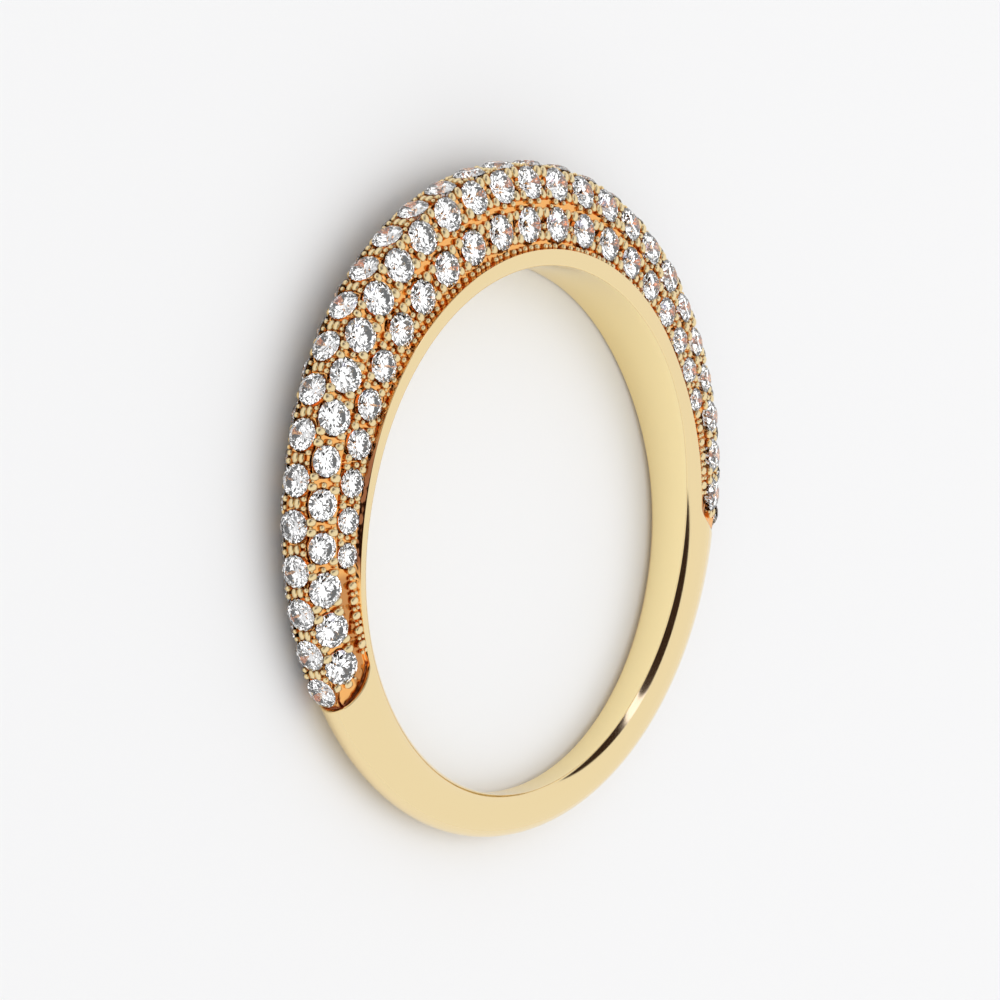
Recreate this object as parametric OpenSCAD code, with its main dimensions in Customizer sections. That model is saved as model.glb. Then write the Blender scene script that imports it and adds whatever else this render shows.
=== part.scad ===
// Pave band ring: a domed gold band with five rows of round stones over the head.
// Sizes are in millimetres. The ring lies on one flat side face, with its head towards +Y.
// The origin is on the surface that it lies on, under the middle of its round outline.

/* [Finger hole] */
// Radius of the finger hole
hole_r = 8.4; // [8.2:0.05:8.6]
// Radial width of the smooth rim beside the finger hole
rim_w = 0.53; // [0.4:0.01:0.55]
// How far each rim slopes in towards the hole
rim_flare = 0.14; // [0.05:0.01:0.2]
// Width of the flat land round the outside of the rim
rim_land = 0.05; // [0.04:0.01:0.1]
// Radius of the shallow hollow that makes the rim's slope
rim_hollow_r = 1.2; // [1:0.1:1.5]

/* [Band] */
// Half the width of the band at the head, over the flat side faces
half_w_head = 1.33; // [1.28:0.01:1.4]
// Half the width of the band at the back
half_w_back = 0.68; // [0.62:0.01:0.75]
// How far the round outline is offset from the hole towards the head
head_offset = 0.92; // [0.85:0.01:1]
// Radius of the round outline of the plain shank
shank_r = 10.66; // [10.6:0.01:10.75]
// Radius of the rounded outer face of the shank
shank_nose_r = 0.7; // [0.6:0.05:0.8]
// Angle from the middle of the outer face at which its flanks start
flank_angle = 62; // [58:1:70]

/* [Pave field] */
// Radius of the floor under the middle row
floor_r = 10.62; // [10.58:0.01:10.66]
// Half the width of the floor under the middle row
floor_half_w = 0.48; // [0.44:0.01:0.5]
// Radius of the ridge between the shoulder row and the side row
ridge_r = 9.6; // [9.55:0.01:9.65]
// Half the width of the band at that ridge
ridge_half_w = 0.9; // [0.87:0.01:0.93]
// Slope of the floor under the side row
side_slope = 0.15; // [0.12:0.01:0.18]
// Where the point of the field ends, measured back from the hole's middle
field_end = 3; // [2.8:0.1:3.2]
// Length of the pointed end of the field
field_point = 2.3; // [1.8:0.1:2.6]

/* [Stones] */
// Diameter of a stone in the middle row
middle_d = 1.04; // [0.98:0.01:1.06]
// Diameter of a stone in the shoulder rows
shoulder_d = 1.12; // [1.04:0.01:1.14]
// Diameter of the smaller stones in the waist of the shoulder rows
waist_d = 0.98; // [0.94:0.01:1.02]
// Diameter of a stone in the side rows, at the head
side_d = 1.14; // [1.04:0.01:1.16]
// Diameter of the last stone in the side rows
side_end_d = 0.78; // [0.74:0.01:0.8]
// Angle between two stones of the middle row, seen from the hole
middle_pitch = 7.36; // [7.3:0.01:7.4]
// Angle between two stones of the shoulder rows
shoulder_pitch = 7.34; // [7.3:0.01:7.4]
// Angle between two stones of the side rows, at the head
side_pitch = 8.6; // [8.5:0.01:8.65]
// Clearance round a stone in its seat
seat_gap = 0.03; // [0.02:0.005:0.04]
// How much deeper the last stones of the side and shoulder rows are set
end_sink = 0.08; // [0.06:0.01:0.1]

/* [Hidden] */

$fn = 48;
fine = 180;                            // segments of the large round faces
reach = 15;                            // half size of the solids that cut the band
rim_r = hole_r + rim_w;                // outer edge of the smooth rim
half_w = (half_w_head + half_w_back) / 2;
taper = atan((half_w_head - half_w_back) / (2 * rim_r));
end_steps = 4;                         // straight stretches in half of the field's pointed end
depth_share = 0.43;                    // pavilion depth of a stone, of its diameter
crown_share = 0.15;                    // crown height of a stone, of its diameter
table_share = 0.57;                    // width of a stone's table, of its diameter
girdle_rise = 0.02;                    // height of the girdle above the floor
seat_floor = 0.05;                     // clearance under a stone
seat_top = 0.6;                        // how far a seat's cutter stands out of the floor
facets = 8;                            // facets round a stone's crown and round its pavilion
side_last = 10;                        // stones of a side row on each side of its middle one
shoulder_last = 13.5;                  // last stone of a shoulder row, in pitches from its middle
side_shrink = 0.0073;                  // how fast the pitch of a side row shrinks
waist_from = 8;                        // the waist of a shoulder row, in pitches from its middle
waist_to = 11;

// The floor under a shoulder row: its middle and the tilt of its normal away from the radius
shoulder_r = (floor_r + ridge_r) / 2;
shoulder_z = (floor_half_w + ridge_half_w) / 2;
shoulder_tilt = atan((floor_r - ridge_r) / (ridge_half_w - floor_half_w));
side_tilt = 90 - atan(side_slope);

// Distance from the hole's axis, in direction a, of a circle of radius r about the offset axis
function from_axis(r, a) = head_offset * cos(a) + sqrt(pow(r, 2) - pow(head_offset * sin(a), 2));

// Turn of the offset circle's normal against the direction a
function normal_turn(r, a) = asin(head_offset * sin(a) / r);

// Half the width of the floor under a side row, at radius r from the offset axis
function side_z(r) = ridge_half_w + side_slope * (ridge_r - r);

// The side rows run midway between the rim and the ridge
function side_from_axis(a) = (rim_r + from_axis(ridge_r, a)) / 2;
function offset_radius(d, a) = norm([d * sin(a), d * cos(a) - head_offset]);

function side_angle(i) = side_pitch * i - side_shrink * pow(i, 3);
function side_size(i) = side_d - (side_d - side_end_d) * pow(i / side_last, 2);
function shoulder_size(i) = abs(i) > waist_from && abs(i) < waist_to ? waist_d : shoulder_d;

// Extra depth of stone i in a row that runs from -last to last, for the band's narrowing sides
function sink(i, last) = end_sink * pow(i / last, 4);

// Places its children at a stone's seat, with their +Z out of the floor
module at_seat(angle, distance, z, turn, tilt)
    rotate(angle)
        translate([0, distance, z])
            rotate([0, 0, turn])
                rotate([tilt - 90, 0, 0]) children();

// Cuts or places one item for each stone: what is "seat" or "stone"
module each_stone(what) {
    for (i = [-14:14]) {
        a = middle_pitch * i;
        at_seat(a, from_axis(floor_r, a), 0, normal_turn(floor_r, a), 0) item(what, middle_d, 0);
    }
    for (side = [-1, 1], i = [-shoulder_last:shoulder_last]) {
        a = shoulder_pitch * i;
        at_seat(a, from_axis(shoulder_r, a), side * shoulder_z,
                normal_turn(shoulder_r, a), side * shoulder_tilt)
            item(what, shoulder_size(i), sink(i, shoulder_last));
    }
    for (side = [-1, 1], i = [-side_last:side_last]) {
        a = side_angle(i);
        d = side_from_axis(a);
        r = offset_radius(d, a);
        at_seat(a, d, side * side_z(r), normal_turn(r, a), side * side_tilt)
            item(what, side_size(i), sink(i, side_last));
    }
}

module item(what, d, sunk) {
    if (what == "seat") translate([0, 0, -sunk]) seat(d);
    else translate([0, 0, girdle_rise - sunk]) cut_stone(d);
}

// The round hole drilled for one stone
module seat(d) {
    depth = depth_share * d - girdle_rise + seat_floor;
    translate([0, 0, -depth]) cylinder(r = d / 2 + seat_gap, h = depth + seat_top);
}

// A round stone: a table, a ring of crown facets and a ring of pavilion facets down to the point
module cut_stone(d) {
    ring = [for (i = [0:facets - 1]) let (a = (i + 0.5) * 360 / facets) [cos(a), sin(a)]];
    table = [for (p = ring) [p[0] * table_share * d / 2, p[1] * table_share * d / 2, crown_share * d]];
    girdle = [for (p = ring) [p[0] * d / 2, p[1] * d / 2, 0]];
    polyhedron(
        points = concat(table, girdle, [[0, 0, -depth_share * d]]),
        faces = concat(
            [[for (i = [facets - 1:-1:0]) i]],
            [for (i = [0:facets - 1]) let (j = (i + 1) % facets) [i, j, facets + j, facets + i]],
            [for (i = [0:facets - 1]) let (j = (i + 1) % facets) [facets + i, facets + j, 2 * facets]]
        )
    );
}

// The whole band before its sides are cut: a section turned about the offset axis
module turned(section_points) {
    translate([0, head_offset, 0])
        rotate_extrude($fn = fine) polygon(section_points);
}

// The plain domed band: a rounded outer face with sloping flanks
module shank_body() {
    flank_z = shank_nose_r * sin(flank_angle);
    flank_r = shank_r - shank_nose_r * (1 - cos(flank_angle));
    inner_r = hole_r - 2 * head_offset;
    inner_z = flank_z + (flank_r - inner_r) / tan(flank_angle);
    turned([[inner_r, -inner_z], [flank_r, -flank_z], [flank_r, flank_z], [inner_r, inner_z]]);
    translate([0, head_offset, 0])
        rotate_extrude($fn = fine) translate([shank_r - shank_nose_r, 0]) circle(r = shank_nose_r);
}

// The band's core under the stones: a floor for each of the five rows
module pave_body() {
    inner_r = hole_r - 2 * head_offset;
    turned([
        [inner_r, -side_z(inner_r)], [ridge_r, -ridge_half_w], [floor_r, -floor_half_w],
        [floor_r, floor_half_w], [ridge_r, ridge_half_w], [inner_r, side_z(inner_r)]
    ]);
}

// The region that holds the pave field: everything on the head's side of its two pointed ends
module field_region() {
    corner = field_point - field_end;
    edge = [for (i = [-end_steps:end_steps]) let (t = i / end_steps)
        [field_point * pow(t, 2) - field_end, t * half_w_head]];
    rotate([90, 0, 90])
        translate([0, 0, -reach])
            linear_extrude(2 * reach)
                polygon(concat([[reach, -reach], [corner, -reach]], edge,
                               [[corner, reach], [reach, reach]]));
}

// One flat side face, with the shallow hollow that makes the rim slope in to the hole.
// The hollow's arc runs from the land down to the rim's inner edge, rim_flare below it.
module side_cut() {
    slope_w = rim_w - rim_land;
    chord = norm([slope_w, rim_flare]);
    rise = sqrt(pow(rim_hollow_r, 2) - pow(chord / 2, 2));
    arc_r = hole_r + slope_w / 2 - rise * rim_flare / chord;
    arc_z = rise * slope_w / chord - rim_flare / 2;
    translate([0, 0, half_w]) rotate([taper, 0, 0]) {
        translate([-reach, -reach, 0]) cube([2 * reach, 2 * reach, reach]);
        rotate_extrude($fn = fine) translate([arc_r, arc_z]) circle(r = rim_hollow_r, $fn = 96);
    }
}

module band() color("gold") at_rest()
    difference() {
        union() {
            difference() { shank_body(); field_region(); }
            intersection() { pave_body(); field_region(); }
            cylinder(r = rim_r, h = 2 * half_w_head + 1, center = true, $fn = fine);
        }
        side_cut();
        mirror([0, 0, 1]) side_cut();
        cylinder(r = hole_r, h = 2 * reach, center = true, $fn = fine);
        each_stone("seat");
    }

module pave_stones() color("white") at_rest() each_stone("stone");

// Lays the ring on its lower side face and moves its outline's middle over the origin
module at_rest()
    translate([0, -head_offset, half_w * cos(taper)]) rotate([taper, 0, 0]) children();

band();
pave_stones();
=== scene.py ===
"""Looks of the pave band ring: gold band, cut stones, prongs, grain beads and milgrain.

Sizes below are in millimetres in the ring's own frame: the finger hole's axis is Z and the
head is towards +Y. to_world() lays the ring on its side face, as the frame has it, in metres.
"""

import math

import bpy
import numpy as np
from mathutils import Matrix, Vector, noise


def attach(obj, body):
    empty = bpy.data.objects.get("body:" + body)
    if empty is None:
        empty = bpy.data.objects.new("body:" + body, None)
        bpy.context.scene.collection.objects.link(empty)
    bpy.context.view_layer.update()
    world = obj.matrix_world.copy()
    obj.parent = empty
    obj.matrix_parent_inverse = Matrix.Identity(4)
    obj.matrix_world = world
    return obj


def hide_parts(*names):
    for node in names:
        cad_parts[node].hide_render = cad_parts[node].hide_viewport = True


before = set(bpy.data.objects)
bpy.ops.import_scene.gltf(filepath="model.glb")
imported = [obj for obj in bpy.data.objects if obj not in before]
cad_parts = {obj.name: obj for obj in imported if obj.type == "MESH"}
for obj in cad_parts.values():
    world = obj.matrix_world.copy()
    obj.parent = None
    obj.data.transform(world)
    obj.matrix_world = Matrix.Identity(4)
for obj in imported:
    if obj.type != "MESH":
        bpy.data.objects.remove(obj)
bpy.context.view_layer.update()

MM = 0.001
DEG = math.pi / 180

# Band. The two values of a crown size are beside the pave field and on the plain shank.
HOLE_R = 8.4
RIM_W = 0.53
RIM_R = HOLE_R + RIM_W
BORE_EDGE_CUT = 0.03
CROWN_W = (0.3, 0.5)
CROWN_DROP = (0.08, 0.27)
CROWN_SLOPE = (35 * DEG, 52 * DEG)
CROWN_CHANGE = (58 * DEG, 108 * DEG)
CHAMFER_W = 0.12
CHAMFER_MIDDLE = 72 * DEG
CHAMFER_SPREAD = 18 * DEG
HALF_W_HEAD = 1.33
HALF_W_BACK = 0.68
HALF_W = (HALF_W_HEAD + HALF_W_BACK) / 2
SIDE_MARGIN = 0.002
TAPER = math.atan((HALF_W_HEAD - HALF_W_BACK) / (2 * RIM_R))
OFFSET = 0.92
OUTLINE_R = 10.79
OUTLINE_MARGIN = 0.001
SHANK_R = 10.6595
SHANK_NOSE_R = 0.7
NOSE_END = 55 * DEG
SHOULDER_FLAT = 0.46
KNEE_ROOM = 0.02

# Floors of the pave field
FLOOR_R = 10.62
FLOOR_HALF_W = 0.48
RIDGE_R = 9.6
RIDGE_HALF_W = 0.9
SIDE_SLOPE = 0.15
FIELD_END = 106.9 * DEG
FIELD_BOW = 7 * DEG
FIELD_ROUNDNESS = 1.8
FLOOR_DROP = 0.07
RIM_CUT = 0.02
FOOT_OUT = 0.02
FOOT_CUT = 0.03
RIDGE_CUT = 0.06
RIDGE_RISE = 0.015
RIDGE_OUT = (0.72, 0.69)
GROOVE_CUT = 0.08
GROOVE_DEPTH = 0.2
GROOVE_INTO = (-0.84, -0.54)
SINK_ANGLE = 99
SINK_LIMIT = 1.05
GRAVER_SIZE = 0.17
GRAVER_BIAS = 0.3
GRAVER_DEPTH = 0.05

# Stones
MIDDLE_D = 1.04
SHOULDER_D = 1.12
WAIST_D = 0.98
SIDE_D = 1.14
SIDE_END_D = 0.78
MIDDLE_PITCH = 7.36
SHOULDER_PITCH = 7.34
SIDE_PITCH = 8.6
MIDDLE_LAST = 14
SHOULDER_LAST = 13.5
SIDE_LAST = 10
SIDE_SHRINK = 0.0073
END_SINK = 0.08
WAIST_FROM = 8
WAIST_TO = 11
GIRDLE_RISE = 0.02
SHOULDER_R = (FLOOR_R + RIDGE_R) / 2
SHOULDER_Z = (FLOOR_HALF_W + RIDGE_HALF_W) / 2
SHOULDER_TILT = math.atan((FLOOR_R - RIDGE_R) / (RIDGE_HALF_W - FLOOR_HALF_W)) / DEG
SIDE_TILT = 90 - math.atan(SIDE_SLOPE) / DEG

# Camera: turns of the ring against it, its distance, the picture that it fills, and how far the
# hole's middle is from the picture's middle
CAMERA_TILT = 6.23
CAMERA_YAW = 52.12
CAMERA_ROLL = 10.88
CAMERA_DISTANCE = 220
PIXELS_PER_MM = 31.58
FRAME_PX = 1000
SENSOR_MM = 36
HOLE_PX_RIGHT = 11.4
HOLE_PX_DOWN = 29.1
CLIP_START = 0.001
CLIP_END = 10


def to_world(points):
    """Points of the ring's own frame, in millimetres, as they lie in the frame, in metres."""
    p = np.asarray(points, float)
    c, s = math.cos(TAPER), math.sin(TAPER)
    x = p[..., 0]
    y = p[..., 1] * c - p[..., 2] * s - OFFSET
    z = p[..., 1] * s + p[..., 2] * c + HALF_W * c
    return np.stack([x, y, z], axis=-1) * MM


def within_outline(points):
    """The points, none of them outside the flat side faces or the round outline of the ring."""
    limit = HALF_W + math.tan(TAPER) * points[:, 1] - OUTLINE_MARGIN
    middle = np.array([0, OFFSET, 0])
    r = np.hypot(points[:, 0], points[:, 1] - OFFSET)
    share = np.minimum(1, OUTLINE_R / r)[:, None]
    held = middle + (points - middle) * np.hstack([share, share, np.ones_like(share)])
    held[:, 2] = np.clip(held[:, 2], -limit, limit)
    return held


def from_axis(r, a):
    """Distance from the hole's axis, in direction a, of radius r about the offset axis."""
    return OFFSET * np.cos(a) + np.sqrt(r ** 2 - (OFFSET * np.sin(a)) ** 2)


def offset_radius(d, a):
    """Radius about the offset axis of a point at distance d in direction a."""
    return np.hypot(d * np.sin(a), d * np.cos(a) - OFFSET)


def normal_turn(r, a):
    """Turn of the normal of the circle about the offset axis against direction a."""
    return np.arcsin(OFFSET * np.sin(a) / r)


def side_z(r):
    """Half the width of the floor under a side row, at radius r about the offset axis."""
    return RIDGE_HALF_W + SIDE_SLOPE * (RIDGE_R - r)


def side_plane(d, a):
    """Half the width of the band over its flat side faces, at distance d in direction a."""
    return HALF_W - SIDE_MARGIN + math.tan(TAPER) * d * np.cos(a)


def side_from_axis(a):
    """Distance of the side rows from the hole's axis: midway between the rim and the ridge."""
    return (RIM_R + from_axis(RIDGE_R, a)) / 2


# Places on the five floors of the pave field: a middle one, two shoulders and two sides. The
# axes of a place run along the row, across it, and out of the floor.

def turn_z(a):
    c, s = math.cos(a), math.sin(a)
    return np.array([[c, -s, 0], [s, c, 0], [0, 0, 1]])


def turn_x(a):
    c, s = math.cos(a), math.sin(a)
    return np.array([[1, 0, 0], [0, c, -s], [0, s, c]])


def floor_place(a_deg, d, z, turn, tilt_deg, sunk):
    """A place sunk into the floor under the point at distance d and height z, and its axes."""
    a = a_deg * DEG
    axes = turn_z(a + turn) @ turn_x((tilt_deg - 90) * DEG)
    place = turn_z(a) @ np.array([0, d, z]) - axes[:, 2] * sunk
    return place, axes


def middle_place(i):
    """Place i of the middle row, counted in stones from the middle of the head."""
    a = MIDDLE_PITCH * i * DEG
    return floor_place(MIDDLE_PITCH * i, from_axis(FLOOR_R, a), 0, normal_turn(FLOOR_R, a), 0, 0)


def shoulder_place(i, side):
    """Place i of the shoulder row on one side, counted in stones from the middle of the head."""
    a = SHOULDER_PITCH * i * DEG
    sunk = END_SINK * (i / SHOULDER_LAST) ** 4
    return floor_place(SHOULDER_PITCH * i, from_axis(SHOULDER_R, a), side * SHOULDER_Z,
                       normal_turn(SHOULDER_R, a), side * SHOULDER_TILT, sunk)


def side_place(a_deg, side, sunk):
    """The place of the side row on one side, at an angle in degrees from the middle of the head."""
    a = a_deg * DEG
    d = side_from_axis(a)
    r = offset_radius(d, a)
    return floor_place(a_deg, d, side * side_z(r), normal_turn(r, a), side * SIDE_TILT, sunk)


def side_angle(i):
    """Angle in degrees of stone i of a side row, whose pitch shrinks towards its ends."""
    return SIDE_PITCH * i - SIDE_SHRINK * i ** 3


def side_size(i):
    return SIDE_D - (SIDE_D - SIDE_END_D) * (i / SIDE_LAST) ** 2


def side_sunk(i):
    return END_SINK * (i / SIDE_LAST) ** 4


def shoulder_size(i):
    return WAIST_D if WAIST_FROM < abs(i) < WAIST_TO else SHOULDER_D


def stone_places():
    """(place, axes, diameter) of every stone."""
    stones = []
    for i in range(-MIDDLE_LAST, MIDDLE_LAST + 1):
        stones.append((*middle_place(i), MIDDLE_D))
    for side in (-1, 1):
        for i in np.arange(-SHOULDER_LAST, SHOULDER_LAST + 1):
            stones.append((*shoulder_place(i, side), shoulder_size(i)))
        for i in range(-SIDE_LAST, SIDE_LAST + 1):
            stones.append((*side_place(side_angle(i), side, side_sunk(i)), side_size(i)))
    return stones


STONES = stone_places()


def make_object(name, vertices, faces, smooth=True):
    """A mesh object from points in the ring's own frame."""
    mesh = bpy.data.meshes.new(name)
    mesh.from_pydata(to_world(vertices).tolist(), [], faces)
    mesh.validate()
    mesh.polygons.foreach_set("use_smooth", [smooth] * len(mesh.polygons))
    mesh.update()
    piece = bpy.data.objects.new(name, mesh)
    bpy.context.scene.collection.objects.link(piece)
    return piece


# Section of the band. Each half section runs from the middle of the bore, round the rim and
# over the floors to the middle of the outer face, for all columns at once.

BORE_STEPS = 4
EDGE_STEPS = 4
CROWN_STEPS = 9
CORNER_STEPS = 4
WALL_STEPS = 3
FOOT_STEPS = 3
SIDE_STEPS = 12
RIDGE_STEPS = 5
SHOULDER_STEPS = 17
MIDDLE_STEPS = 8
RIM_ROWS = BORE_STEPS + EDGE_STEPS - 1 + CROWN_STEPS
WALL_FIRST = RIM_ROWS + CORNER_STEPS
FLOOR_FIRST = WALL_FIRST + WALL_STEPS
GROOVE_FIRST = FLOOR_FIRST + FOOT_STEPS - 1 + SIDE_STEPS + RIDGE_STEPS - 1 + SHOULDER_STEPS


def line(p, q, steps):
    """Points from p up to q, without q."""
    return [p + (q - p) * k for k in np.arange(steps) / steps]


def curve(start, control, end, steps):
    """Points of a quadratic curve, with both ends."""
    t = np.linspace(0, 1, steps)
    return [start * (1 - k) ** 2 + control * 2 * k * (1 - k) + end * k ** 2 for k in t]


def corner(before, at, after, cut, steps):
    """Points of a rounded corner at a point, between its neighbours, with both ends."""
    to_before = before - at
    to_after = after - at
    p = at + to_before / np.linalg.norm(to_before, axis=-1, keepdims=True) * cut
    q = at + to_after / np.linalg.norm(to_after, axis=-1, keepdims=True) * cut
    return curve(p, at, q, steps)


def section_point(d, z):
    """Distance and height of a point of the section, in every column."""
    d, z = np.broadcast_arrays(d, z)
    return np.stack([d, z], axis=-1)


def side_point(d, a):
    """A point on the flat side face, at distance d in direction a."""
    return section_point(d + 0 * a, side_plane(d, a))


def crown_value(values, a):
    """A size of the rim's crown: low beside the pave field, full on the plain shank."""
    t = np.clip((np.abs(a) - CROWN_CHANGE[0]) / (CROWN_CHANGE[1] - CROWN_CHANGE[0]), 0, 1)
    return values[0] + (values[1] - values[0]) * t * t * (3 - 2 * t)


def rim_points(a):
    """The bore, its edge, and the crowned rim up to where it is flat."""
    drop = crown_value(CROWN_DROP, a)
    bore = section_point(HOLE_R + 0 * a, 0 * a)
    edge = section_point(HOLE_R + 0 * a, side_plane(HOLE_R, a) - drop)
    bend = side_point(HOLE_R + drop / np.tan(crown_value(CROWN_SLOPE, a)), a)
    top = side_point(HOLE_R + crown_value(CROWN_W, a), a)
    edge_round = corner(bore, edge, bend, BORE_EDGE_CUT, EDGE_STEPS)
    crown = curve(edge_round[-1], bend, top, CROWN_STEPS + 1)
    return line(bore, edge_round[0], BORE_STEPS) + edge_round[:-1] + crown[:-1]


def floor_sink(a):
    """How far the side and shoulder floors sink towards the ends of the field."""
    return END_SINK * np.minimum(np.abs(a) / (SINK_ANGLE * DEG), SINK_LIMIT) ** 4


def swelled(points, shift, power):
    """The points of a corner, moved most in its middle and not at all at its ends."""
    last = len(points) - 1
    return [p + shift * math.sin(math.pi * k / last) ** power for k, p in enumerate(points)]


def field_points(a, relief=1.0):
    """Half section of the band inside the pave field; relief 0 leaves out its grooves."""
    crown_end = side_point(HOLE_R + crown_value(CROWN_W, a), a)
    chamfer = CHAMFER_W * np.exp(-((np.abs(a) - CHAMFER_MIDDLE) / CHAMFER_SPREAD) ** 2)
    rim = side_point(RIM_R - chamfer, a)
    foot_d = RIM_R + FOOT_OUT
    lowered = FLOOR_DROP + floor_sink(a)
    foot = section_point(foot_d + 0 * a, side_z(offset_radius(foot_d, a)) - lowered)
    ridge = section_point(from_axis(RIDGE_R - FLOOR_DROP / 2, a), RIDGE_HALF_W - lowered)
    groove = section_point(from_axis(FLOOR_R - FLOOR_DROP, a), FLOOR_HALF_W - FLOOR_DROP / 3)
    middle = section_point(from_axis(FLOOR_R - FLOOR_DROP, a), 0 * a)
    rim_edge = corner(crown_end, rim, foot, RIM_CUT, CORNER_STEPS)
    foot_edge = corner(rim, foot, ridge, FOOT_CUT, FOOT_STEPS)
    ridge_edge = corner(foot, ridge, groove, RIDGE_CUT, RIDGE_STEPS)
    ridge_edge = swelled(ridge_edge, np.array(RIDGE_OUT) * RIDGE_RISE * relief, 2)
    groove_edge = corner(ridge, groove, middle, GROOVE_CUT, RIDGE_STEPS)
    groove_edge = swelled(groove_edge, np.array(GROOVE_INTO) * GROOVE_DEPTH * relief, 1)
    points = rim_points(a) + rim_edge
    points += line(rim_edge[-1], foot_edge[0], WALL_STEPS + 1)[1:] + foot_edge[:-1]
    points += line(foot_edge[-1], ridge_edge[0], SIDE_STEPS) + ridge_edge[:-1]
    points += line(ridge_edge[-1], groove_edge[0], SHOULDER_STEPS) + groove_edge[:-1]
    points += line(groove_edge[-1], middle, MIDDLE_STEPS) + [middle]
    return np.stack(points, axis=0)


FLAT_STEPS = 16
FLANK_STEPS = 32
NOSE_STEPS = 32


def shank_outline(a):
    """Distances and heights of the plain outer face at angle a, from the rim to the middle."""
    nose_r = SHANK_R - SHANK_NOSE_R
    end = np.array([nose_r + SHANK_NOSE_R * math.cos(NOSE_END), SHANK_NOSE_R * math.sin(NOSE_END)])
    top = side_plane(RIM_R, a)
    run = (top - end[1]) / math.cos(NOSE_END)
    knee = np.array([end[0] - run * math.sin(NOSE_END), top])
    land = offset_radius(RIM_R, a)
    start = np.array([max(knee[0] - SHOULDER_FLAT, land + KNEE_ROOM), top])
    knee[0] = max(knee[0], start[0] + KNEE_ROOM)
    flat = line(np.array([land, top]), start, FLAT_STEPS)
    flank = curve(start, knee, end, FLANK_STEPS)
    turn = np.linspace(NOSE_END, 0, NOSE_STEPS)[1:]
    nose = np.stack([nose_r + SHANK_NOSE_R * np.cos(turn), SHANK_NOSE_R * np.sin(turn)], axis=-1)
    outline = np.concatenate([flat, flank, nose])
    outline[:, 0] = from_axis(outline[:, 0], a)
    outline[:, 1] *= side_plane(outline[:, 0], a) / top
    return outline


# Distance of the middle of the band's metal, about which the shank's points are spread
CENTRE_D = 8.7
NEARLY_ZERO = 1e-6


def bearings(points):
    """Directions of a section's points from the middle of its metal."""
    return np.arctan2(points[..., 1], points[..., 0] - CENTRE_D)


def shank_points(a):
    """Half section of the plain shank, its points spread as they are at the end of the field."""
    points = field_points(a, 0)
    spread = bearings(field_points(np.array([FIELD_END - FIELD_BOW / 2]), 0)[RIM_ROWS:, 0])
    crown_end = bearings(side_point(HOLE_R + crown_value(CROWN_W, a), a))
    for column, angle in enumerate(a):
        outline = shank_outline(angle)
        bearing = bearings(outline)
        reach = np.hypot(outline[:, 1], outline[:, 0] - CENTRE_D)
        order = np.argsort(bearing)
        own = spread * crown_end[column] / spread[0]
        slope = math.tan(TAPER) * math.cos(angle)
        steepness = np.maximum(np.sin(own) - slope * np.cos(own), NEARLY_ZERO)
        flat = side_plane(CENTRE_D, angle) / steepness
        far = np.where(own > bearing[0], flat, np.interp(own, bearing[order], reach[order]))
        points[RIM_ROWS:, column, 0] = CENTRE_D + far * np.cos(own)
        points[RIM_ROWS:, column, 1] = far * np.sin(own)
    return points


def field_ends():
    """Height of each row near the pave field's rounded end, and the angle where the row ends."""
    a = np.array([FIELD_END - FIELD_BOW / 2])
    field = field_points(a, 0)
    surface = shank_points(a)[:, 0]
    steps = np.linalg.norm(np.diff(surface, axis=0), axis=1)
    from_middle = np.append(np.cumsum(steps[::-1])[::-1], 0)
    share = np.minimum(from_middle / from_middle[RIM_ROWS], 1)
    bow = (1 - share ** FIELD_ROUNDNESS) ** (1 / FIELD_ROUNDNESS)
    return field[:, 0, 1], FIELD_END - FIELD_BOW * (1 - bow)


# Columns round half the ring, in the field, on the wall at its end and on the shank
FIELD_COLUMNS = 268
WALL_COLUMNS = (0.004, 0.012, 0.024, 0.04, 0.065, 0.1)
SHANK_COLUMNS = 44
FIELD_MM = 17.5
SHANK_MM = 13.0
WALL_WIDTH = 0.08
MOAT_WIDTH = 0.24
MOAT_DEPTH = 0.08

# Painted shade of the gold, from 0 to 1: darker in crevices where shade falls, and the bore at 0 is
# painted paler.
# Shades with angles change along the ring.
FLOOR_SHADE = 0.6
BORE_SHADE = 0
PLAIN_SHADE = 0.1
GROOVE_SHADES = (0.6, 0.9, 1, 0.9, 0.6)
WALL_SHADES = ((45, 60, 80, 85), (0.65, 0.95, 0.95, 0.4))
MILGRAIN_SHADES = ((78, 83), (0, 0.8))
BORE_ROWS = BORE_STEPS + 1
WALL_ROWS = slice(WALL_FIRST - 1, FLOOR_FIRST + 1)
MILGRAIN_ROWS = slice(FLOOR_FIRST + SIDE_STEPS // 2, FLOOR_FIRST + SIDE_STEPS + 2 * RIDGE_STEPS)
GROOVE_ROWS = slice(GROOVE_FIRST, GROOVE_FIRST + RIDGE_STEPS)


def column_stations():
    """Stations of the columns, half way round from the head: 0 to 1 in the field, 1 to 2 after."""
    field = np.linspace(0, 1, FIELD_COLUMNS)
    wall = 1 + np.array(WALL_COLUMNS) / SHANK_MM
    shank = np.linspace(wall[-1], 2, SHANK_COLUMNS)[1:]
    return np.concatenate([field, wall, shank])


def half_sections(angle, to_shank, sunk):
    """Distances and heights of the half section's points, at the angle of each row and column."""
    half = np.zeros((*angle.shape, 2))
    after = slice(FIELD_COLUMNS, None)
    for row in range(len(angle)):
        half[row] = field_points(angle[row])[row]
        inwards = np.array([CENTRE_D, 0]) - half[row]
        inwards /= np.linalg.norm(inwards, axis=-1, keepdims=True)
        half[row] += inwards * sunk[row][:, None]
        shank = shank_points(angle[row, after])[row]
        half[row, after] += (shank - half[row, after]) * to_shank[after, None]
    return half


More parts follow.
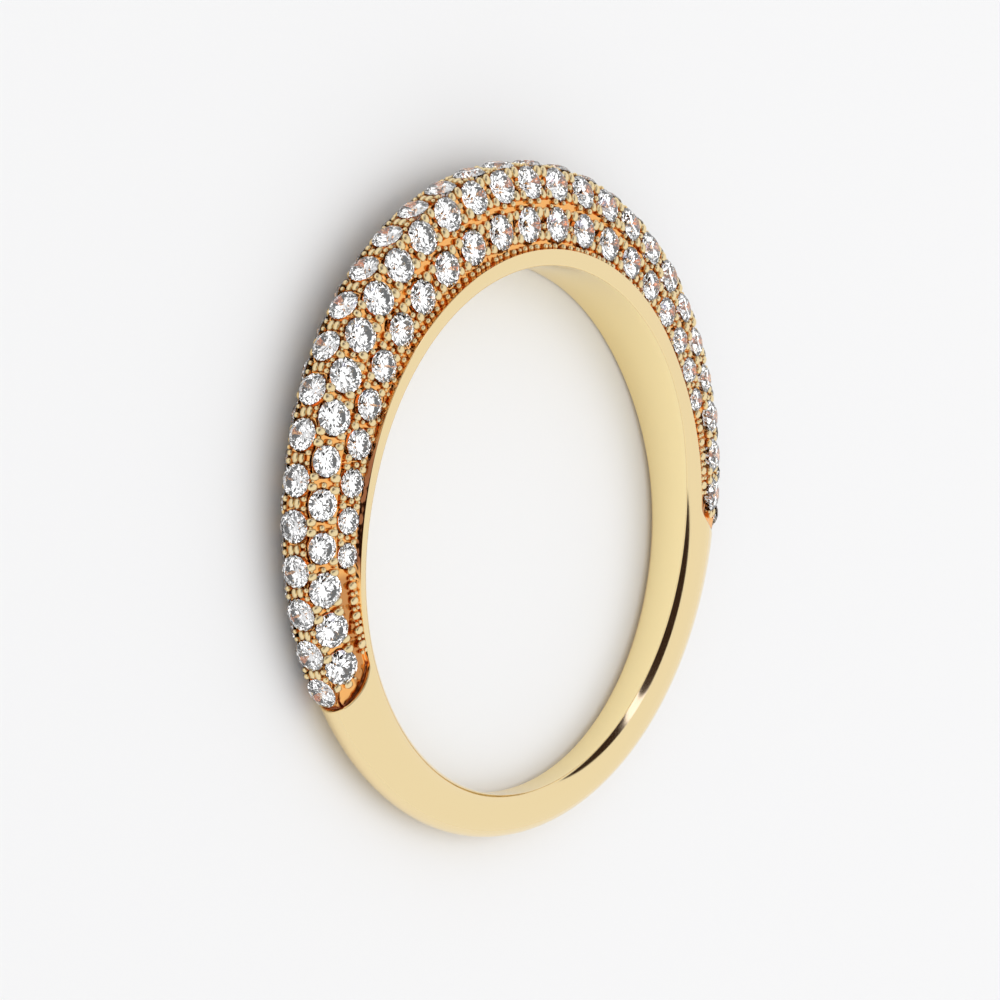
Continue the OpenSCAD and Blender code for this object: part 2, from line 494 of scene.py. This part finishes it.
def painted_shades(angle, on_floor, at_end, to_shank):
    """Painted shade of each point of the half section: darker on the floors, the wall, beside the
    milgrain and in the groove, darkest at the field's ends, and painted paler on the bore.
    """
    deepest = np.minimum(2 * at_end, 1)
    painted_shade = np.where(on_floor > 0, FLOOR_SHADE + (1 - FLOOR_SHADE) * deepest, 0)
    for rows, shades in ((WALL_ROWS, WALL_SHADES), (MILGRAIN_ROWS, MILGRAIN_SHADES)):
        shade = np.interp(np.abs(angle[rows]) / DEG, *shades)
        painted_shade[rows] = np.maximum(painted_shade[rows], shade)
    painted_shade[GROOVE_ROWS] = np.maximum(painted_shade[GROOVE_ROWS], np.array(GROOVE_SHADES)[:, None])
    plain = np.where(np.arange(len(angle)) < BORE_ROWS, BORE_SHADE, PLAIN_SHADE)[:, None]
    return plain + np.maximum(painted_shade - plain, 0) * (1 - to_shank)


def all_round(quarter, row_flip=1, column_flip=1):
    """A grid of half the section and half the ring, mirrored to the other half of each."""
    half = np.concatenate([quarter, quarter[1:-1][::-1] * row_flip])
    return np.concatenate([half, half[:, 1:-1][:, ::-1] * column_flip], axis=1)


def band_grid():
    """The band's points as a grid of rows round its section and columns round the ring.

    The second grid is the painted shade of each point, and the third one how far the point
    is on the floors of the pave field, both from 0 to 1.
    """
    stations = column_stations()
    ends = field_ends()[1][:, None]
    angle = np.minimum(stations, 1) * ends + np.maximum(stations - 1, 0) * (math.pi - ends)
    past_end = np.maximum(stations - 1, 0) * SHANK_MM
    before_end = np.maximum(1 - stations, 0) * FIELD_MM
    to_shank = np.sqrt(1 - (1 - np.clip(past_end / WALL_WIDTH, 0, 1)) ** 2)
    at_end = np.clip(1 - before_end / MOAT_WIDTH, 0, 1) ** 2
    on_floor = np.clip((np.arange(len(angle)) - WALL_FIRST) / WALL_STEPS, 0, 1)[:, None]
    half = half_sections(angle, to_shank, on_floor * at_end * MOAT_DEPTH)
    distance, height = half[..., 0], half[..., 1]
    points = np.stack([distance * np.sin(angle), distance * np.cos(angle), height], axis=-1)
    painted_shade = painted_shades(angle, on_floor, at_end, to_shank)
    inside = on_floor * (1 - to_shank)
    points = all_round(points, np.array([1, 1, -1]), np.array([-1, 1, 1]))
    return points, all_round(painted_shade), all_round(inside)


# Seats under the stones: a step at the edge, then a ledge, then a cone
SEAT_GAP = 0.015
SEAT_EDGE = 0.07
SEAT_STEP = 0.1
SEAT_LEDGE = 0.04
SEAT_SLOPE = 0.86
SEAT_REACH = 0.15
SEAT_HEIGHT = 0.25
# Painted shade in the seats under the stones: the most, and how it grows per millimetre of depth
SEAT_SHADE = 0.6
SEAT_SHADE_PER_MM = 3


def seat_depth(q, rim):
    """Depth of a stone's seat at distance q from the stone's axis."""
    t = np.clip((rim - q) / SEAT_EDGE, 0, 1)
    step = t * t * (3 - 2 * t)
    return step * (SEAT_STEP + SEAT_SLOPE * np.maximum(rim - SEAT_LEDGE - q, 0))


def press_seats(points):
    """The points with a seat sunk under every stone, and how deep each point went."""
    moved = points.copy()
    deep = np.zeros(len(points))
    for place, axes, size in STONES:
        rim = size / 2 + SEAT_GAP
        near = np.linalg.norm(points - place, axis=-1) < rim + SEAT_REACH
        local = (points[near] - place) @ axes
        depth = seat_depth(np.hypot(local[:, 0], local[:, 1]), rim)
        depth *= np.abs(local[:, 2]) < SEAT_HEIGHT
        moved[near] -= depth[:, None] * axes[:, 2]
        deep[near] = np.maximum(deep[near], depth)
    return moved, deep


def graver_cuts(points, inside):
    """Small uneven cuts in the floors, towards the band's own middle."""
    centre = points * np.array([1, 1, 0])
    centre *= CENTRE_D / np.linalg.norm(centre, axis=-1, keepdims=True)
    inwards = centre - points
    inwards /= np.linalg.norm(inwards, axis=-1, keepdims=True)
    cut = np.array([noise.noise(Vector(p / GRAVER_SIZE)) for p in points])
    return points + inwards * (inside * (cut + GRAVER_BIAS) * GRAVER_DEPTH)[:, None]


def make_band():
    """The whole surface of the band, with the painted shade of each point."""
    grid, painted_shade, inside = band_grid()
    rows, columns = grid.shape[:2]
    points, deep = press_seats(grid.reshape(-1, 3))
    points = within_outline(graver_cuts(points, inside.reshape(-1)))
    faces = []
    for row in range(rows):
        after = (row + 1) % rows
        for column in range(columns):
            then = (column + 1) % columns
            faces.append((row * columns + column, after * columns + column,
                          after * columns + then, row * columns + then))
    band = make_object("band_surface", points, faces)
    # Painted shade: deeper seats are painted darker
    seat_shade = np.clip(deep * SEAT_SHADE_PER_MM, 0, SEAT_SHADE)
    shade = np.maximum(painted_shade.reshape(-1), seat_shade)
    band.data.attributes.new("painted_shade", "FLOAT", "POINT").data.foreach_set("value", shade)
    return band


# Cut stones. Their sizes are shares of a stone's diameter, and the lean is in degrees.

TABLE_SHARE = 0.57
CROWN_SHARE = 0.15
DEPTH_SHARE = 0.43
GIRDLE_SHARE = 0.02
STAR_R = 0.38
LOWER_R = 0.115
GIRDLE_R = 0.5
MAINS = 8
STONE_LEAN = 1.2


def ring_of(radius, z, count, phase):
    """Evenly spaced points of a level circle, the first of them at phase steps."""
    a = (np.arange(count) + phase) * 2 * math.pi / count
    return np.stack([radius * np.cos(a), radius * np.sin(a), np.full(count, z)], axis=-1)


def brilliant():
    """A round brilliant of diameter 1, its girdle at height 0: table, stars, kites and mains."""
    half_turn = math.cos(math.pi / MAINS)
    table_r = TABLE_SHARE / 2
    half_girdle = GIRDLE_SHARE / 2
    crown = CROWN_SHARE - half_girdle
    star_z = half_girdle + crown * (GIRDLE_R - STAR_R * half_turn) / (GIRDLE_R - table_r)
    depth = DEPTH_SHARE - half_girdle
    lower_z = -half_girdle - depth * (GIRDLE_R - LOWER_R * half_turn) / GIRDLE_R
    points = np.concatenate([
        ring_of(table_r, CROWN_SHARE, MAINS, 0),
        ring_of(STAR_R, star_z, MAINS, 0.5),
        ring_of(GIRDLE_R, half_girdle, 2 * MAINS, 0),
        ring_of(GIRDLE_R, -half_girdle, 2 * MAINS, 0),
        ring_of(LOWER_R, lower_z, MAINS, 0.5),
        [[0, 0, -DEPTH_SHARE]],
    ])
    # The first point of each ring, and the point at the bottom
    table, star, upper, lower, tip, culet = (MAINS * k for k in (0, 1, 2, 4, 6, 7))
    faces = [tuple(range(MAINS))]
    for k in range(MAINS):
        after = (k + 1) % MAINS
        before = (k - 1) % MAINS
        faces.append((table + k, star + k, table + after))
        faces.append((table + k, star + before, upper + 2 * k, star + k))
        faces.append((star + k, upper + 2 * k, upper + 2 * k + 1))
        faces.append((star + k, upper + 2 * k + 1, upper + 2 * after))
        faces.append((culet, tip + k, lower + 2 * k, tip + before))
        faces.append((tip + k, lower + 2 * k + 1, lower + 2 * k))
        faces.append((tip + k, lower + 2 * after, lower + 2 * k + 1))
    for k in range(2 * MAINS):
        after = (k + 1) % (2 * MAINS)
        faces.append((upper + k, lower + k, lower + after, upper + after))
    return points, faces


def make_stones(rng):
    """All the stones, each turned about its axis and leaning a little by chance."""
    shape, shape_faces = brilliant()
    points = []
    faces = []
    for place, axes, size in STONES:
        spin = turn_z(rng.uniform(0, 2 * math.pi))
        lean = turn_x(rng.normal(0, STONE_LEAN) * DEG)
        local = shape @ (lean @ spin).T * size + np.array([0, 0, GIRDLE_RISE])
        first = len(points) * len(shape)
        points.append(local @ axes.T + place)
        faces += [tuple(first + v for v in face) for face in shape_faces]
    points = within_outline(np.concatenate(points))
    return make_object("cut_stones", points, faces, smooth=False)


# Prongs, grain beads and milgrain. Each is (centre, axes, radii) with its radii along the row,
# across it and out of the floor.

BEAD_SEGMENTS = 10
BEAD_RINGS = 6
BEAD_SQUARENESS = 2.5


def bead_shape():
    """A squarish ball of radius 1 and its faces."""
    points = [[0, 0, 1]]
    for ring in range(1, BEAD_RINGS):
        polar = math.pi * ring / BEAD_RINGS
        points += ring_of(math.sin(polar), math.cos(polar), BEAD_SEGMENTS, 0.5).tolist()
    points.append([0, 0, -1])
    points = np.array(points)
    reach = (np.abs(points) ** BEAD_SQUARENESS).sum(axis=1) ** (1 / BEAD_SQUARENESS)
    faces = []
    last = len(points) - 1
    for k in range(BEAD_SEGMENTS):
        after = (k + 1) % BEAD_SEGMENTS
        faces.append((0, 1 + k, 1 + after))
        bottom = last - BEAD_SEGMENTS
        faces.append((last, bottom + after, bottom + k))
        for ring in range(BEAD_RINGS - 2):
            upper = 1 + ring * BEAD_SEGMENTS
            lower = upper + BEAD_SEGMENTS
            faces.append((upper + k, lower + k, lower + after, upper + after))
    return points / reach[:, None], faces


def bead(placed, along, across, rise, radii):
    """A bead at a place's own distances along the row, across it and out of the floor."""
    place, axes = placed
    return place + axes @ np.array([along, across, rise]), axes, np.array(radii)


# Prongs between two stones of a shoulder or side row: half the gap between them along the row,
# their place across it, and their radii. In the side rows all but the last radius are shares of
# the stones' diameter.
SHOULDER_PRONGS = (0.165, 0.37, (0.14, 0.18, 0.1))
SIDE_PRONGS = (0.15, 0.33, (0.13, 0.155, 0.09))
PRONG_SCATTER = 0.015
PRONG_SIZES = (0.88, 1.1)
PRONG_SUNK = 0.01

# Grains between two prongs that stand side by side
GRAIN_R = 0.045
GRAIN_RISE = 0.035
GRAIN_ACROSS = 1.15
GRAIN_SCATTER = 0.02

# Prongs and grains between two stones of the middle row
LONG_PRONG_RADII = (0.165, 0.11, 0.09)
LONG_PRONG_ACROSS = 0.115
LONG_PRONG_SIZES = (0.9, 1.1)
CORNER_GRAIN_ALONG = 0.13
CORNER_GRAIN_ACROSS = 0.36
CORNER_GRAIN_R = (0.07, 0.1)

# Prongs past the last stone of a shoulder row: place back along the row, across it and out of
# the floor, and radii
END_PRONGS = (
    (0.6, 0.33, -PRONG_SUNK, (0.13, 0.14, 0.08)),
    (0.66, -0.06, -PRONG_SUNK, (0.13, 0.15, 0.08)),
    (0.56, -0.32, 0, (0.05, 0.05, 0.05)),
)

# Column of pads and pairs of grains along the rim, from one angle to another
MILGRAIN_FROM = 81.6
MILGRAIN_TO = 98.5
MILGRAIN_PITCH = 3.0
PAD_ACROSS = -0.12
PAD_RADII = (0.13, 0.17, 0.09)
PAIR_ACROSS = (-0.21, -0.05)
PAIR_RADII = (0.065, 0.065, 0.075)


def prong_group(placed, half_gap, across, radii, rng):
    """Four prongs round the gap between two stones, and a grain between each two of them."""
    beads = []
    for way in (-1, 1):
        for side in (-1, 1):
            along_row = way * half_gap + rng.normal(0, PRONG_SCATTER)
            size = np.array(radii) * rng.uniform(*PRONG_SIZES)
            across_row = side * across + rng.normal(0, PRONG_SCATTER)
            beads.append(bead(placed, along_row, across_row, -PRONG_SUNK, size))
    for side in (-1, 1):
        along_row = rng.normal(0, GRAIN_SCATTER)
        across_row = side * across * GRAIN_ACROSS
        beads.append(bead(placed, along_row, across_row, GRAIN_RISE, [GRAIN_R] * 3))
    return beads


def middle_prongs(rng):
    """Two long prongs side by side in each gap of the middle row, and a grain at each corner."""
    beads = []
    for i in range(-MIDDLE_LAST, MIDDLE_LAST):
        placed = middle_place(i + 0.5)
        for side in (-1, 1):
            size = np.array(LONG_PRONG_RADII) * rng.uniform(*LONG_PRONG_SIZES)
            along_row = rng.normal(0, GRAIN_SCATTER)
            beads.append(bead(placed, along_row, side * LONG_PRONG_ACROSS, 0, size))
        for way in (-1, 1):
            for side in (-1, 1):
                size = rng.uniform(*CORNER_GRAIN_R)
                along_row = way * CORNER_GRAIN_ALONG + rng.normal(0, GRAIN_SCATTER)
                beads.append(bead(placed, along_row, side * CORNER_GRAIN_ACROSS, 0, [size] * 3))
    return beads


def row_prongs(rng):
    """The prongs between the stones of all five rows."""
    beads = middle_prongs(rng)
    half_gap, across, radii = SIDE_PRONGS
    for side in (-1, 1):
        for i in range(-int(SHOULDER_LAST), int(SHOULDER_LAST) + 1):
            beads += prong_group(shoulder_place(i, side), *SHOULDER_PRONGS, rng)
        for i in range(-SIDE_LAST, SIDE_LAST):
            size = (side_size(i) + side_size(i + 1)) / 2
            placed = side_place((side_angle(i) + side_angle(i + 1)) / 2, side, side_sunk(i + 0.5))
            own_radii = (radii[0] * size, radii[1] * size, radii[2])
            beads += prong_group(placed, half_gap * size, across * size, own_radii, rng)
    return beads


def end_prongs(side, way):
    """Prongs past the last stone of a shoulder row."""
    placed = shoulder_place(way * SHOULDER_LAST, side)
    return [bead(placed, -way * back, side * across, rise, radii)
            for back, across, rise, radii in END_PRONGS]


def milgrain_beads():
    """A column of pads and pairs of grains along the rim, past the last stone of a side row."""
    beads = []
    for side in (-1, 1):
        for way in (-1, 1):
            for a in np.arange(MILGRAIN_FROM, MILGRAIN_TO, MILGRAIN_PITCH):
                placed = side_place(way * a, side, END_SINK / 2)
                beads.append(bead(placed, 0, side * PAD_ACROSS, -PRONG_SUNK, PAD_RADII))
                placed = side_place(way * (a + MILGRAIN_PITCH / 2), side, END_SINK / 2)
                for across in PAIR_ACROSS:
                    beads.append(bead(placed, 0, side * across, 0, PAIR_RADII))
            beads += end_prongs(side, way)
    return beads


# Grains that fill the floors: their radii, the spots where they are tried, by angle along the
# ring and by distance across each floor, and the room that they need
FILL_RADII = (0.1, 0.075)
FILL_SUNK = 0.02
FILL_STEP = 0.4
FILL_TO = 98
FILL_TO_SIDE = MILGRAIN_FROM - 2
MIDDLE_SPOTS = (-0.42, 0.42, 8)
SHOULDER_SPOTS = (-0.5, 0.5, 9)
SIDE_SPOTS = 10
SIDE_SPOT_MARGINS = (0.07, 0.05)
FAR_OFF = 9.0
END_ROOM = 0.016
STONE_ROOM = 0.8
FILL_ROOM = 1.5


def floor_spots():
    """Places all over the floors, for grains in what room the stones and prongs leave."""
    spots = []
    for a in np.arange(-FILL_TO, FILL_TO + 0.1, FILL_STEP):
        for across in np.linspace(*MIDDLE_SPOTS):
            spots.append((middle_place(a / MIDDLE_PITCH), across))
        for side in (-1, 1):
            for across in np.linspace(*SHOULDER_SPOTS):
                spots.append((shoulder_place(a / SHOULDER_PITCH, side), across))
            half_width = (from_axis(RIDGE_R, a * DEG) - RIM_R) / 2
            first = -half_width + SIDE_SPOT_MARGINS[0]
            last = half_width - SIDE_SPOT_MARGINS[1]
            sunk = END_SINK * (a / SINK_ANGLE) ** 4
            for across in np.linspace(first, last, SIDE_SPOTS):
                if abs(a) < FILL_TO_SIDE:
                    spots.append((side_place(a, side, sunk), across))
    return spots


def fill_beads(beads, rng):
    """Grains of falling size, each in the first free spot that holds it."""
    spots = [bead(placed, 0, across, -FILL_SUNK, [0])[:2] for placed, across in floor_spots()]
    centres = np.array([centre for centre, axes in spots])
    heights, angles = field_ends()
    ends = np.interp(np.abs(centres[:, 2]), heights[RIM_ROWS:][::-1], angles[RIM_ROWS:][::-1])
    inside = np.abs(np.arctan2(centres[:, 0], centres[:, 1])) < ends - END_ROOM
    stone_room = np.full(len(centres), FAR_OFF)
    for place, axes, size in STONES:
        stone_room = np.minimum(stone_room, np.linalg.norm(centres - place, axis=1) - size / 2)
    bead_room = np.full(len(centres), FAR_OFF)
    for centre, axes, radii in beads:
        bead_room = np.minimum(bead_room, np.linalg.norm(centres - centre, axis=1) - max(radii[:2]))
    filled = []
    for radius in FILL_RADII:
        for k in rng.permutation(len(spots)):
            free = stone_room[k] > radius * STONE_ROOM and bead_room[k] > radius * FILL_ROOM
            if inside[k] and free:
                centre, axes = spots[k]
                filled.append((centre, axes, np.array([radius] * 3)))
                far = np.linalg.norm(centres - centre, axis=1) - radius
                bead_room = np.minimum(bead_room, far)
    return filled


# Painted shade of a bead, darker towards its foot where shade falls: at its waist, how much lighter
# towards its top, and the darkest
BEAD_SHADE = 0.4
BEAD_SHADE_RISE = 0.6
BEAD_SHADE_MOST = 0.75


def make_beads(rng):
    """All the prongs and grains as one piece, with the painted shade of each point."""
    shape, shape_faces = bead_shape()
    beads = row_prongs(rng) + milgrain_beads()
    beads += fill_beads(beads, rng)
    points = []
    faces = []
    for centre, axes, radii in beads:
        first = len(points) * len(shape)
        points.append((shape * radii) @ axes.T + centre)
        faces += [tuple(first + v for v in face) for face in shape_faces]
    piece = make_object("grain_beads", within_outline(np.concatenate(points)), faces)
    # Painted shade: darker towards each bead's foot, lighter towards its top
    shade = np.clip(BEAD_SHADE - BEAD_SHADE_RISE * shape[:, 2], PLAIN_SHADE, BEAD_SHADE_MOST)
    shades = np.tile(shade, len(beads))
    piece.data.attributes.new("painted_shade", "FLOAT", "POINT").data.foreach_set("value", shades)
    return piece


# Materials

# Gold's colour by its painted shade: paler on the bore at 0, then deeper orange and dark brown as
# painted shade and painted reflections of gold in crevices
GOLD_SHADES = (
    (0, (1.0, 0.83, 0.46, 1)),
    (0.1, (0.92, 0.74, 0.42, 1)),
    (0.3, (1.0, 0.7, 0.3, 1)),
    (0.6, (1.0, 0.5, 0.16, 1)),
    (1, (0.28, 0.09, 0.045, 1)),
)
POLISHED_ROUGHNESS = (0.07, 0.16)
CUT_ROUGHNESS = (0.24, 0.36)
WEAR_SCALE = 900
WEAR_DETAIL = 6
WEAR_STRENGTH = 0.05
WEAR_DEPTH = 0.00002
STONE_COLOUR = (1, 1, 1, 1)
STONE_IOR = 2.417
FLOOR_COLOUR = (0.9, 0.9, 0.905, 1)
FLOOR_ROUGHNESS = 0.8


def new_material(name):
    material = bpy.data.materials.new(name)
    material.use_nodes = True
    return material, material.node_tree.nodes, material.node_tree.links


def gold_material(name, roughness):
    """Yellow gold with fine wear in its polish, and painted shade: deeper in colour in crevices,
    paler on the bore.
    """
    material, nodes, links = new_material(name)
    shader = nodes["Principled BSDF"]
    shader.inputs["Metallic"].default_value = 1.0
    # Painted shade and painted reflections of gold, read from a value on each point
    painted_shade = nodes.new("ShaderNodeAttribute")
    painted_shade.attribute_name = "painted_shade"
    colour = nodes.new("ShaderNodeValToRGB")
    stops = colour.color_ramp.elements
    stops[0].color = GOLD_SHADES[0][1]
    stops[1].color = GOLD_SHADES[-1][1]
    for depth, shade in GOLD_SHADES[1:-1]:
        stops.new(depth).color = shade
    links.new(painted_shade.outputs["Fac"], colour.inputs["Fac"])
    links.new(colour.outputs["Color"], shader.inputs["Base Color"])
    place = nodes.new("ShaderNodeTexCoord")
    wear = nodes.new("ShaderNodeTexNoise")
    wear.inputs["Scale"].default_value = WEAR_SCALE
    wear.inputs["Detail"].default_value = WEAR_DETAIL
    links.new(place.outputs["Object"], wear.inputs["Vector"])
    rough = nodes.new("ShaderNodeMapRange")
    rough.inputs["To Min"].default_value = roughness[0]
    rough.inputs["To Max"].default_value = roughness[1]
    links.new(wear.outputs["Fac"], rough.inputs["Value"])
    links.new(rough.outputs["Result"], shader.inputs["Roughness"])
    bump = nodes.new("ShaderNodeBump")
    bump.inputs["Strength"].default_value = WEAR_STRENGTH
    bump.inputs["Distance"].default_value = WEAR_DEPTH
    links.new(wear.outputs["Fac"], bump.inputs["Height"])
    links.new(bump.outputs["Normal"], shader.inputs["Normal"])
    return material


def stone_material():
    """Clear colourless stone."""
    material, nodes, _ = new_material("clear_stone")
    shader = nodes["Principled BSDF"]
    shader.inputs["Base Color"].default_value = STONE_COLOUR
    shader.inputs["Roughness"].default_value = 0.0
    shader.inputs["IOR"].default_value = STONE_IOR
    shader.inputs["Transmission Weight"].default_value = 1.0
    return material


def floor_material():
    """Matt, nearly white floor."""
    material, nodes, _ = new_material("pale_floor")
    shader = nodes["Principled BSDF"]
    shader.inputs["Base Color"].default_value = FLOOR_COLOUR
    shader.inputs["Roughness"].default_value = FLOOR_ROUGHNESS
    return material


# Camera, floor and light. Sizes and places of the floor and the light are in metres.

FLOOR_SIZE = 6
FLOOR_GAP = 0.00002
KEY_PLACE = (0.25, -0.08, 0.5)
KEY_SIZE = 0.5
KEY_POWER = 0.6


def camera_axes():
    """Rows are the camera's right, up and backward directions, in the ring's own frame."""
    tilt = Matrix.Rotation(CAMERA_TILT * DEG, 3, "X")
    yaw = Matrix.Rotation(CAMERA_YAW * DEG, 3, "Y")
    roll = Matrix.Rotation(CAMERA_ROLL * DEG, 3, "Z")
    return tilt @ yaw @ roll


def make_camera():
    """The photo's view of the ring, turned with it as it lies."""
    rest = Matrix.Rotation(TAPER, 3, "X")
    axes = rest @ camera_axes().transposed()
    hole = Vector(to_world([0, 0, 0]))
    right, up, back = axes.col
    place = hole + back * CAMERA_DISTANCE * MM
    place -= right * HOLE_PX_RIGHT / PIXELS_PER_MM * MM
    place += up * HOLE_PX_DOWN / PIXELS_PER_MM * MM
    data = bpy.data.cameras.new("camera")
    data.sensor_width = SENSOR_MM
    data.lens = PIXELS_PER_MM * CAMERA_DISTANCE / FRAME_PX * SENSOR_MM
    data.clip_start = CLIP_START
    data.clip_end = CLIP_END
    camera = bpy.data.objects.new("camera", data)
    bpy.context.scene.collection.objects.link(camera)
    camera.matrix_world = Matrix.Translation(place) @ axes.to_4x4()
    bpy.context.scene.camera = camera


def make_floor():
    bpy.ops.mesh.primitive_plane_add(size=FLOOR_SIZE, location=(0, 0, -FLOOR_GAP))
    floor = bpy.context.object
    floor.name = "floor"
    floor.data.materials.append(floor_material())


def area_light(name, place, size, power):
    """A soft square light that faces the ring, and that metal doesn't mirror."""
    data = bpy.data.lights.new(name, "AREA")
    data.size = size
    data.energy = power
    light = bpy.data.objects.new(name, data)
    light.location = place
    light.rotation_euler = (-Vector(place)).to_track_quat("-Z", "Y").to_euler()
    light.visible_glossy = False
    bpy.context.scene.collection.objects.link(light)


# The studio. Its sky lights the floor, its room is what metal mirrors, and its lamps are what
# the stones show. Pairs are the range of a direction or a noise and what it becomes. The cone
# round the dark side is in degrees.
SKY_HEIGHTS = (-0.2, 1)
SKY_LIGHT = (0.69, 0.97)
LAMP_SCALE = 3.5
LAMP_DETAIL = 1
LAMP_NOISE = (0.4, 0.58)
LAMP_LIGHT = (0.03, 2.0)
WALL_COLOUR = (0.92, 0.92, 0.92, 1)
DARK_COLOUR = (0.03, 0.014, 0.01, 1)
SLIT_COLOUR = (1.4, 1.4, 1.8, 1)
DARK_SIDE = (-0.48, 0.88, 0)
DARK_SIDE_CONE = (75, 78)
DARK_SIDE_UP = (0.2, 0, 1)
DARK_SIDE_FOOT = (0.39, 0.45)
SLIT_NORMAL = (-0.896, -0.232, 0.378)
SLIT_HALF_WIDTH = (0.08, 0.09)


def graded(nodes, links, value, from_range, to_range):
    """A value moved smoothly from one range to another."""
    grade = nodes.new("ShaderNodeMapRange")
    grade.interpolation_type = "SMOOTHSTEP"
    grade.inputs["From Min"].default_value = from_range[0]
    grade.inputs["From Max"].default_value = from_range[1]
    grade.inputs["To Min"].default_value = to_range[0]
    grade.inputs["To Max"].default_value = to_range[1]
    links.new(value, grade.inputs["Value"])
    return grade.outputs["Result"]


def along(nodes, links, place, direction):
    """How far each direction of the world points along one direction, from -1 to 1."""
    turn = nodes.new("ShaderNodeVectorMath")
    turn.operation = "DOT_PRODUCT"
    turn.inputs[1].default_value = Vector(direction).normalized()
    links.new(place, turn.inputs[0])
    return turn.outputs["Value"]


def calculated(nodes, links, operation, *values):
    """What a sum makes of other nodes' values."""
    result = nodes.new("ShaderNodeMath")
    result.operation = operation
    for value, socket in zip(values, result.inputs):
        links.new(value, socket)
    return result.outputs["Value"]


def blend(nodes, links, share, off, on):
    """One colour at share 0 and another at share 1, each a fixed colour or another node's."""
    mix = nodes.new("ShaderNodeMixRGB")
    links.new(share, mix.inputs["Fac"])
    for colour, socket in ((off, mix.inputs["Color1"]), (on, mix.inputs["Color2"])):
        if isinstance(colour, tuple):
            socket.default_value = colour
        else:
            links.new(colour, socket)
    return mix.outputs["Color"]


def mirrored_room(nodes, links, place):
    """What polished metal mirrors: pale walls, and a dark side with a bright slit in it."""
    turn = along(nodes, links, place, DARK_SIDE)
    cone = tuple(math.cos(angle * DEG) for angle in reversed(DARK_SIDE_CONE))
    around = graded(nodes, links, turn, cone, (0, 1))
    rise = along(nodes, links, place, DARK_SIDE_UP)
    above = graded(nodes, links, rise, DARK_SIDE_FOOT, (0, 1))
    dark_share = calculated(nodes, links, "MULTIPLY", around, above)
    off_slit = calculated(nodes, links, "ABSOLUTE", along(nodes, links, place, SLIT_NORMAL))
    slit = graded(nodes, links, off_slit, SLIT_HALF_WIDTH, (1, 0))
    dark_side = blend(nodes, links, slit, DARK_COLOUR, SLIT_COLOUR)
    return blend(nodes, links, dark_share, WALL_COLOUR, dark_side)


def make_world():
    """A white studio: metal also mirrors its dark side, and stones its many small lamps."""
    world = bpy.data.worlds.new("studio")
    bpy.context.scene.world = world
    world.use_nodes = True
    nodes, links = world.node_tree.nodes, world.node_tree.links
    nodes.clear()
    output = nodes.new("ShaderNodeOutputWorld")
    place = nodes.new("ShaderNodeTexCoord").outputs["Generated"]
    ray = nodes.new("ShaderNodeLightPath")
    height = along(nodes, links, place, (0, 0, 1))
    sky = graded(nodes, links, height, SKY_HEIGHTS, SKY_LIGHT)
    room = mirrored_room(nodes, links, place)
    patches = nodes.new("ShaderNodeTexNoise")
    patches.inputs["Scale"].default_value = LAMP_SCALE
    patches.inputs["Detail"].default_value = LAMP_DETAIL
    links.new(place, patches.inputs["Vector"])
    lamps = graded(nodes, links, patches.outputs["Fac"], LAMP_NOISE, LAMP_LIGHT)
    glow = blend(nodes, links, ray.outputs["Is Glossy Ray"], sky, room)
    glow = blend(nodes, links, ray.outputs["Is Transmission Ray"], glow, lamps)
    light = nodes.new("ShaderNodeBackground")
    light.inputs["Strength"].default_value = 1
    links.new(glow, light.inputs["Color"])
    links.new(light.outputs["Background"], output.inputs["Surface"])


def main():
    scene = bpy.context.scene
    scene.view_settings.view_transform = "Standard"
    rng = np.random.default_rng(7)
    make_camera()
    make_floor()
    make_world()
    area_light("key", KEY_PLACE, KEY_SIZE, KEY_POWER)
    band = make_band()
    band.data.materials.append(gold_material("polished_gold", POLISHED_ROUGHNESS))
    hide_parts("band")
    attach(band, "root")
    beads = make_beads(rng)
    beads.data.materials.append(gold_material("cut_gold", CUT_ROUGHNESS))
    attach(beads, "root")
    stones = make_stones(rng)
    stones.data.materials.append(stone_material())
    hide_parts("pave_stones")
    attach(stones, "root")


main()
